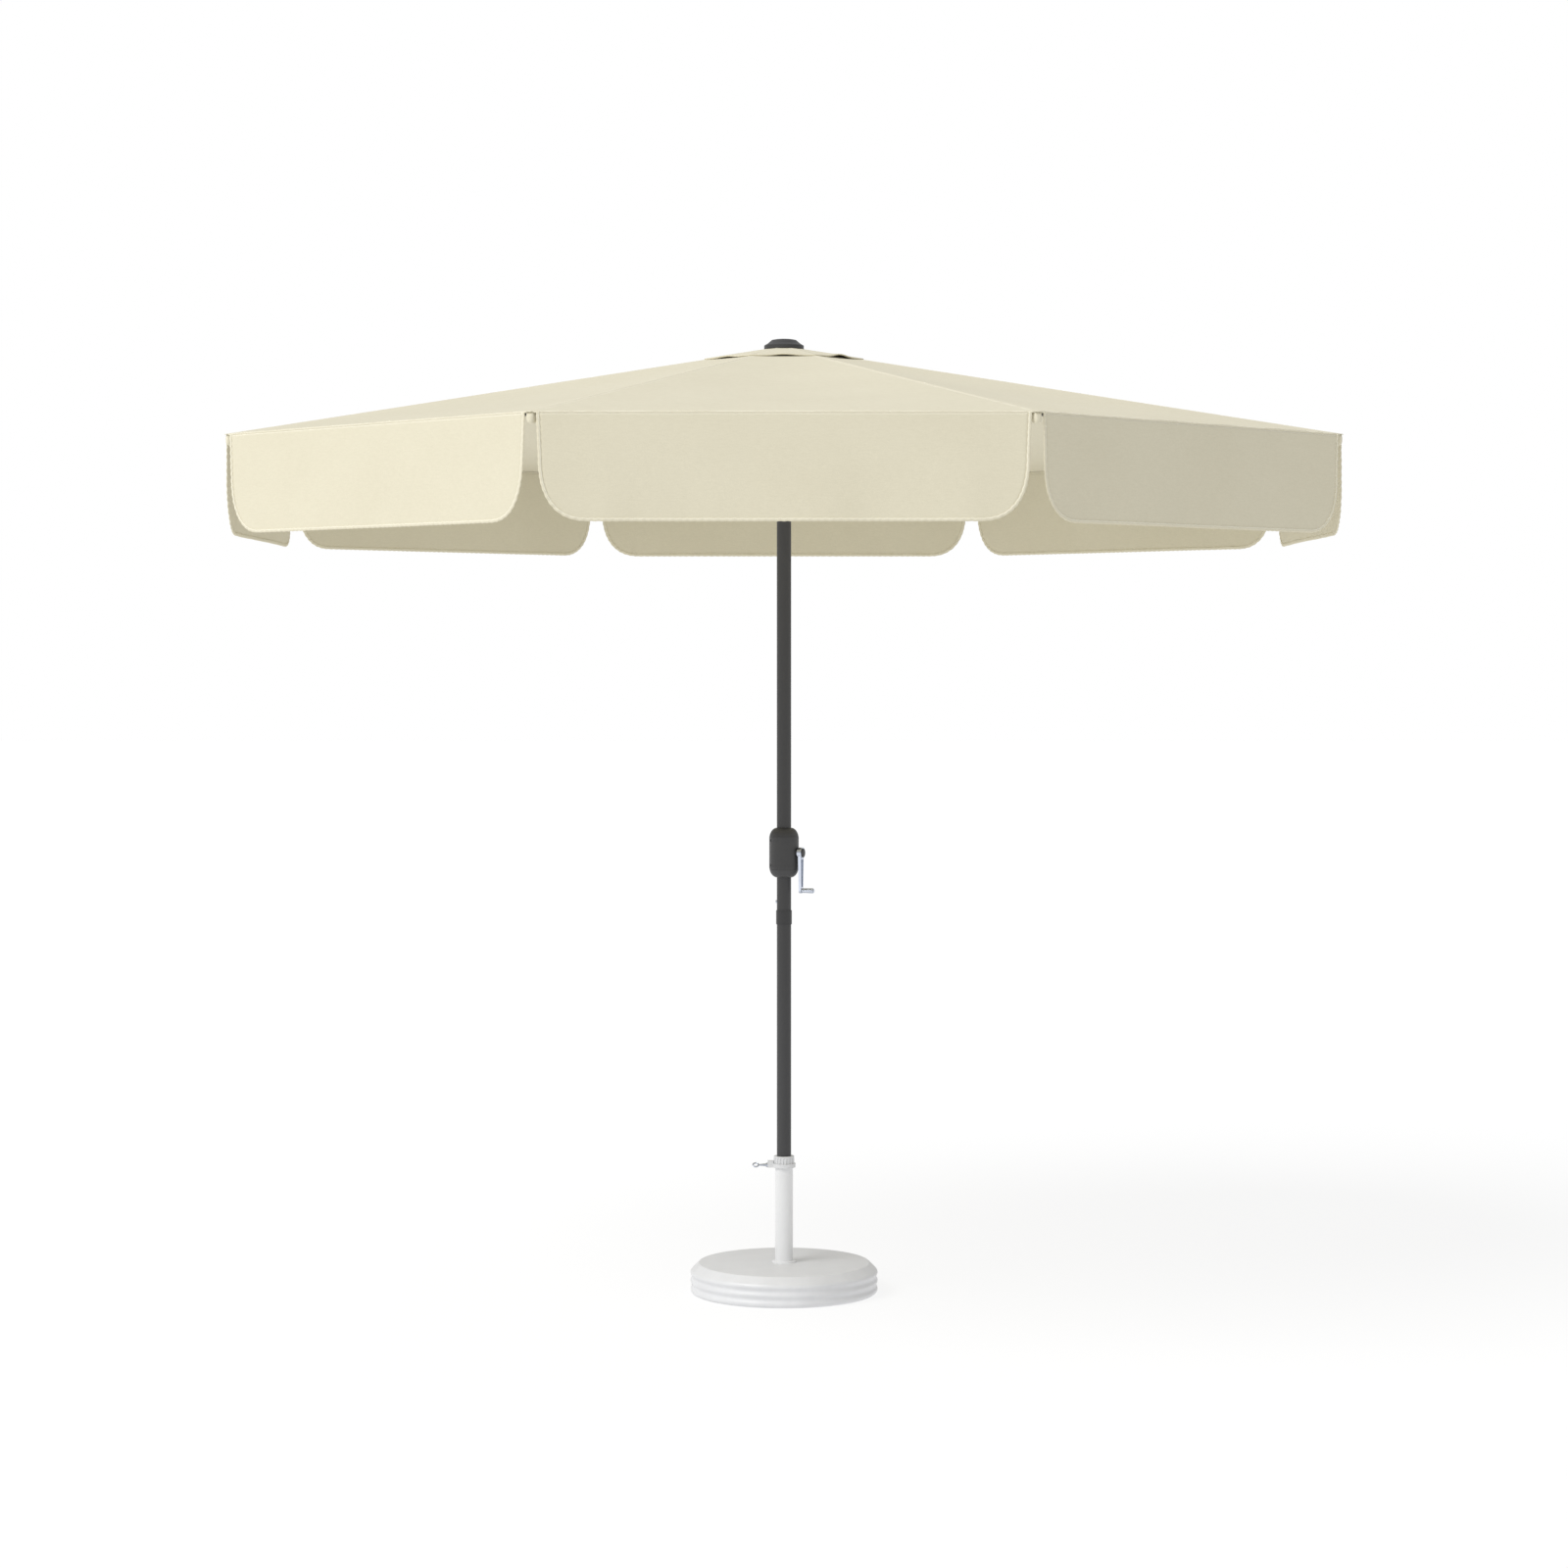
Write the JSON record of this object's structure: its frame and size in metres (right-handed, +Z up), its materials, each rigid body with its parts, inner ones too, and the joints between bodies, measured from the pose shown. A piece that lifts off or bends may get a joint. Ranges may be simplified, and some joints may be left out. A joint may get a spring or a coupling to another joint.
{
  "type": "patio umbrella with base",
  "caption": "Centre-pole crank-lift patio umbrella with a vented cream octagonal canopy, hanging valances and a round weighted base",
  "frame": {"origin": "centre of the base's underside, on the ground", "axes": "+Z up along the pole, the mid-lines of four canopy panels along +X, -X, +Y and -Y, the crank's axis 22.5 degrees from +X towards -Y"},
  "size_m": [2.7716, 2.7716, 2.5339],
  "materials": {
    "base_plastic": "satin",
    "concrete": "matte",
    "tube_paint": "satin",
    "collar_plastic": "satin",
    "black_nylon": "satin",
    "plated_steel": "polished",
    "pole_paint": "satin",
    "frame_paint": "satin",
    "spring_steel": "satin",
    "housing_plastic": "satin",
    "pulley_nylon": "satin",
    "cord_braid": "matte",
    "hub_plastic": "satin",
    "canvas": "matte"
  },
  "bodies": {
    "base": {"base_shell": "base_plastic", "base_core": "concrete", "base_tube": "tube_paint", "clamp_collar": "collar_plastic"},
    "guide_bush": {"guide_bush": "black_nylon"},
    "pole": {"pole_end_plug": "black_nylon", "lower_pole": "pole_paint", "joint_sleeve": "black_nylon", "button_spring": "spring_steel", "upper_pole": "pole_paint", "housing_front": "housing_plastic", "housing_back": "housing_plastic", "housing_screws": "spring_steel", "lift_cord": "cord_braid", "top_hub": "hub_plastic", "hub_ring": "spring_steel", "finial_cap": "hub_plastic", "vent_flap": "canvas"},
    "screw_washer": {"screw_washer": "plated_steel"},
    "clamp_screw": {"clamp_screw": "plated_steel"},
    "snap_button": {"snap_button": "plated_steel"},
    "crank": {"crank_spool": "plated_steel", "crank_arm": "plated_steel"},
    "knob": {"crank_knob": "plated_steel"},
    "pulley": {"top_pulley": "pulley_nylon"},
    "runner": {"runner": "hub_plastic", "runner_ring": "spring_steel", "cord_tail": "cord_braid"},
    "rib_1": {"rib_1": "frame_paint"},
    "strut_1": {"strut_1": "frame_paint"},
    "panel_1": {"canopy_panel_1": "canvas"},
    "valance_1": {"valance_1": "canvas"},
    "rib_2": {"rib_2": "frame_paint"},
    "strut_2": {"strut_2": "frame_paint"},
    "panel_2": {"canopy_panel_2": "canvas"},
    "valance_2": {"valance_2": "canvas"},
    "rib_3": {"rib_3": "frame_paint"},
    "strut_3": {"strut_3": "frame_paint"},
    "panel_3": {"canopy_panel_3": "canvas"},
    "valance_3": {"valance_3": "canvas"},
    "rib_4": {"rib_4": "frame_paint"},
    "strut_4": {"strut_4": "frame_paint"},
    "panel_4": {"canopy_panel_4": "canvas"},
    "valance_4": {"valance_4": "canvas"},
    "rib_5": {"rib_5": "frame_paint"},
    "strut_5": {"strut_5": "frame_paint"},
    "panel_5": {"canopy_panel_5": "canvas"},
    "valance_5": {"valance_5": "canvas"},
    "rib_6": {"rib_6": "frame_paint"},
    "strut_6": {"strut_6": "frame_paint"},
    "panel_6": {"canopy_panel_6": "canvas"},
    "valance_6": {"valance_6": "canvas"},
    "rib_7": {"rib_7": "frame_paint"},
    "strut_7": {"strut_7": "frame_paint"},
    "panel_7": {"canopy_panel_7": "canvas"},
    "valance_7": {"valance_7": "canvas"},
    "rib_8": {"rib_8": "frame_paint"},
    "strut_8": {"strut_8": "frame_paint"},
    "panel_8": {"canopy_panel_8": "canvas"},
    "valance_8": {"valance_8": "canvas"}
  },
  "joints": [
    {"name": "pole_swivel", "type": "hinge", "parent": "base", "child": "guide_bush", "pos_m": [0, 0, 0.2], "axis": [0, 0, 1], "continuous": true},
    {"name": "pole_lift", "type": "slide", "parent": "guide_bush", "child": "pole", "axis": [0, 0, 1], "range_m": [0, 0.3]},
    {"name": "screw_travel", "type": "slide", "parent": "base", "child": "screw_washer", "axis": [-1, 0, 0], "range_m": [0, 0.003]},
    {"name": "screw_turn", "type": "hinge", "parent": "screw_washer", "child": "clamp_screw", "pos_m": [-0.05, 0, 0.34], "axis": [-1, 0, 0], "range_deg": [0, 720]},
    {"name": "button_press", "type": "slide", "parent": "pole", "child": "snap_button", "axis": [1, 0, 0], "range_m": [0, 0.004], "stiffness_N_per_m": 600, "springref_m": -0.003, "deforming": ["button_spring"]},
    {"name": "rib_fold_1", "type": "hinge", "parent": "pole", "child": "rib_1", "pos_m": [0.03141, 0.01301, 2.49], "axis": [-0.3827, 0.9239, 0], "range_deg": [0, 76.5], "deforming": ["canopy_panel_1", "canopy_panel_2", "canopy_panel_3", "canopy_panel_4", "canopy_panel_5", "canopy_panel_6", "canopy_panel_7", "canopy_panel_8", "valance_1", "valance_2", "valance_3", "valance_4", "valance_5", "valance_6", "valance_7", "valance_8", "vent_flap"]},
    {"name": "strut_hinge_1", "type": "hinge", "parent": "rib_1", "child": "strut_1", "pos_m": [0.57443, 0.23794, 2.36809], "axis": [-0.3827, 0.9239, 0], "range_deg": [-153, 0]},
    {"name": "panel_fold_1", "type": "hinge", "parent": "pole", "child": "panel_1", "pos_m": [0.02221, 0.02221, 2.49], "axis": [-0.7071, 0.7071, 0], "range_deg": [0, 76.5]},
    {"name": "valance_hang_1", "type": "hinge", "parent": "panel_1", "child": "valance_1", "pos_m": [0.9795, 0.9795, 2.2455], "axis": [-0.7071, 0.7071, 0], "range_deg": [-76.5, 0]},
    {"name": "rib_fold_2", "type": "hinge", "parent": "pole", "child": "rib_2", "pos_m": [0.01301, 0.03141, 2.49], "axis": [-0.9239, 0.3827, 0], "range_deg": [0, 76.5]},
    {"name": "strut_hinge_2", "type": "hinge", "parent": "rib_2", "child": "strut_2", "pos_m": [0.23794, 0.57443, 2.36809], "axis": [-0.9239, 0.3827, 0], "range_deg": [-153, 0]},
    {"name": "panel_fold_2", "type": "hinge", "parent": "pole", "child": "panel_2", "pos_m": [0, 0.03141, 2.49], "axis": [-1, 0, 0], "range_deg": [0, 76.5]},
    {"name": "valance_hang_2", "type": "hinge", "parent": "panel_2", "child": "valance_2", "pos_m": [0, 1.38522, 2.2455], "axis": [-1, 0, 0], "range_deg": [-76.5, 0]},
    {"name": "rib_fold_3", "type": "hinge", "parent": "pole", "child": "rib_3", "pos_m": [-0.01301, 0.03141, 2.49], "axis": [-0.9239, -0.3827, 0], "range_deg": [0, 76.5]},
    {"name": "strut_hinge_3", "type": "hinge", "parent": "rib_3", "child": "strut_3", "pos_m": [-0.23794, 0.57443, 2.36809], "axis": [-0.9239, -0.3827, 0], "range_deg": [-153, 0]},
    {"name": "panel_fold_3", "type": "hinge", "parent": "pole", "child": "panel_3", "pos_m": [-0.02221, 0.02221, 2.49], "axis": [-0.7071, -0.7071, 0], "range_deg": [0, 76.5]},
    {"name": "valance_hang_3", "type": "hinge", "parent": "panel_3", "child": "valance_3", "pos_m": [-0.9795, 0.9795, 2.2455], "axis": [-0.7071, -0.7071, 0], "range_deg": [-76.5, 0]},
    {"name": "rib_fold_4", "type": "hinge", "parent": "pole", "child": "rib_4", "pos_m": [-0.03141, 0.01301, 2.49], "axis": [-0.3827, -0.9239, 0], "range_deg": [0, 76.5]},
    {"name": "strut_hinge_4", "type": "hinge", "parent": "rib_4", "child": "strut_4", "pos_m": [-0.57443, 0.23794, 2.36809], "axis": [-0.3827, -0.9239, 0], "range_deg": [-153, 0]},
    {"name": "panel_fold_4", "type": "hinge", "parent": "pole", "child": "panel_4", "pos_m": [-0.03141, 0, 2.49], "axis": [0, -1, 0], "range_deg": [0, 76.5]},
    {"name": "valance_hang_4", "type": "hinge", "parent": "panel_4", "child": "valance_4", "pos_m": [-1.38522, 0, 2.2455], "axis": [0, -1, 0], "range_deg": [-76.5, 0]},
    {"name": "rib_fold_5", "type": "hinge", "parent": "pole", "child": "rib_5", "pos_m": [-0.03141, -0.01301, 2.49], "axis": [0.3827, -0.9239, 0], "range_deg": [0, 76.5]},
    {"name": "strut_hinge_5", "type": "hinge", "parent": "rib_5", "child": "strut_5", "pos_m": [-0.57443, -0.23794, 2.36809], "axis": [0.3827, -0.9239, 0], "range_deg": [-153, 0]},
    {"name": "panel_fold_5", "type": "hinge", "parent": "pole", "child": "panel_5", "pos_m": [-0.02221, -0.02221, 2.49], "axis": [0.7071, -0.7071, 0], "range_deg": [0, 76.5]},
    {"name": "valance_hang_5", "type": "hinge", "parent": "panel_5", "child": "valance_5", "pos_m": [-0.9795, -0.9795, 2.2455], "axis": [0.7071, -0.7071, 0], "range_deg": [-76.5, 0]},
    {"name": "rib_fold_6", "type": "hinge", "parent": "pole", "child": "rib_6", "pos_m": [-0.01301, -0.03141, 2.49], "axis": [0.9239, -0.3827, 0], "range_deg": [0, 76.5]},
    {"name": "strut_hinge_6", "type": "hinge", "parent": "rib_6", "child": "strut_6", "pos_m": [-0.23794, -0.57443, 2.36809], "axis": [0.9239, -0.3827, 0], "range_deg": [-153, 0]},
    {"name": "panel_fold_6", "type": "hinge", "parent": "pole", "child": "panel_6", "pos_m": [0, -0.03141, 2.49], "axis": [1, 0, 0], "range_deg": [0, 76.5]},
    {"name": "valance_hang_6", "type": "hinge", "parent": "panel_6", "child": "valance_6", "pos_m": [0, -1.38522, 2.2455], "axis": [1, 0, 0], "range_deg": [-76.5, 0]},
    {"name": "rib_fold_7", "type": "hinge", "parent": "pole", "child": "rib_7", "pos_m": [0.01301, -0.03141, 2.49], "axis": [0.9239, 0.3827, 0], "range_deg": [0, 76.5]},
    {"name": "strut_hinge_7", "type": "hinge", "parent": "rib_7", "child": "strut_7", "pos_m": [0.23794, -0.57443, 2.36809], "axis": [0.9239, 0.3827, 0], "range_deg": [-153, 0]},
    {"name": "panel_fold_7", "type": "hinge", "parent": "pole", "child": "panel_7", "pos_m": [0.02221, -0.02221, 2.49], "axis": [0.7071, 0.7071, 0], "range_deg": [0, 76.5]},
    {"name": "valance_hang_7", "type": "hinge", "parent": "panel_7", "child": "valance_7", "pos_m": [0.9795, -0.9795, 2.2455], "axis": [0.7071, 0.7071, 0], "range_deg": [-76.5, 0]},
    {"name": "rib_fold_8", "type": "hinge", "parent": "pole", "child": "rib_8", "pos_m": [0.03141, -0.01301, 2.49], "axis": [0.3827, 0.9239, 0], "range_deg": [0, 76.5]},
    {"name": "strut_hinge_8", "type": "hinge", "parent": "rib_8", "child": "strut_8", "pos_m": [0.57443, -0.23794, 2.36809], "axis": [0.3827, 0.9239, 0], "range_deg": [-153, 0]},
    {"name": "panel_fold_8", "type": "hinge", "parent": "pole", "child": "panel_8", "pos_m": [0.03141, 0, 2.49], "axis": [0, 1, 0], "range_deg": [0, 76.5]},
    {"name": "valance_hang_8", "type": "hinge", "parent": "panel_8", "child": "valance_8", "pos_m": [1.38522, 0, 2.2455], "axis": [0, 1, 0], "range_deg": [-76.5, 0]},
    {"name": "runner_hinge", "type": "hinge", "parent": "strut_1", "child": "runner", "pos_m": [0.03141, 0.01301, 2.24617], "axis": [-0.3827, 0.9239, 0], "range_deg": [0, 76.5]},
    {"name": "crank_turn", "type": "hinge", "parent": "pole", "child": "crank", "pos_m": [0.04619, -0.01913, 1.1743], "axis": [0.9239, -0.3827, 0], "range_deg": [-5040, 0]},
    {"name": "knob_spin", "type": "hinge", "parent": "crank", "child": "knob", "pos_m": [0.06282, -0.02602, 1.0743], "axis": [0.9239, -0.3827, 0], "continuous": true},
    {"name": "pulley_turn", "type": "hinge", "parent": "pole", "child": "pulley", "pos_m": [0.0085, 0, 2.455], "axis": [0, 1, 0], "range_deg": [0, 4320]}
  ],
  "couplings": [
    {"joint": "strut_hinge_1", "follows": "rib_fold_1", "ratio": -2},
    {"joint": "panel_fold_1", "follows": "rib_fold_1", "ratio": 1},
    {"joint": "valance_hang_1", "follows": "rib_fold_1", "ratio": -1},
    {"joint": "rib_fold_2", "follows": "rib_fold_1", "ratio": 1},
    {"joint": "strut_hinge_2", "follows": "rib_fold_1", "ratio": -2},
    {"joint": "panel_fold_2", "follows": "rib_fold_1", "ratio": 1},
    {"joint": "valance_hang_2", "follows": "rib_fold_1", "ratio": -1},
    {"joint": "rib_fold_3", "follows": "rib_fold_1", "ratio": 1},
    {"joint": "strut_hinge_3", "follows": "rib_fold_1", "ratio": -2},
    {"joint": "panel_fold_3", "follows": "rib_fold_1", "ratio": 1},
    {"joint": "valance_hang_3", "follows": "rib_fold_1", "ratio": -1},
    {"joint": "rib_fold_4", "follows": "rib_fold_1", "ratio": 1},
    {"joint": "strut_hinge_4", "follows": "rib_fold_1", "ratio": -2},
    {"joint": "panel_fold_4", "follows": "rib_fold_1", "ratio": 1},
    {"joint": "valance_hang_4", "follows": "rib_fold_1", "ratio": -1},
    {"joint": "rib_fold_5", "follows": "rib_fold_1", "ratio": 1},
    {"joint": "strut_hinge_5", "follows": "rib_fold_1", "ratio": -2},
    {"joint": "panel_fold_5", "follows": "rib_fold_1", "ratio": 1},
    {"joint": "valance_hang_5", "follows": "rib_fold_1", "ratio": -1},
    {"joint": "rib_fold_6", "follows": "rib_fold_1", "ratio": 1},
    {"joint": "strut_hinge_6", "follows": "rib_fold_1", "ratio": -2},
    {"joint": "panel_fold_6", "follows": "rib_fold_1", "ratio": 1},
    {"joint": "valance_hang_6", "follows": "rib_fold_1", "ratio": -1},
    {"joint": "rib_fold_7", "follows": "rib_fold_1", "ratio": 1},
    {"joint": "strut_hinge_7", "follows": "rib_fold_1", "ratio": -2},
    {"joint": "panel_fold_7", "follows": "rib_fold_1", "ratio": 1},
    {"joint": "valance_hang_7", "follows": "rib_fold_1", "ratio": -1},
    {"joint": "rib_fold_8", "follows": "rib_fold_1", "ratio": 1},
    {"joint": "strut_hinge_8", "follows": "rib_fold_1", "ratio": -2},
    {"joint": "panel_fold_8", "follows": "rib_fold_1", "ratio": 1},
    {"joint": "valance_hang_8", "follows": "rib_fold_1", "ratio": -1},
    {"joint": "runner_hinge", "follows": "rib_fold_1", "ratio": 1},
    {"joint": "crank_turn", "follows": "rib_fold_1", "ratio": -65.882},
    {"joint": "pulley_turn", "follows": "rib_fold_1", "ratio": 53.843},
    {"joint": "screw_turn", "follows": "screw_travel", "rad_per_m": 4188.8}
  ]
}
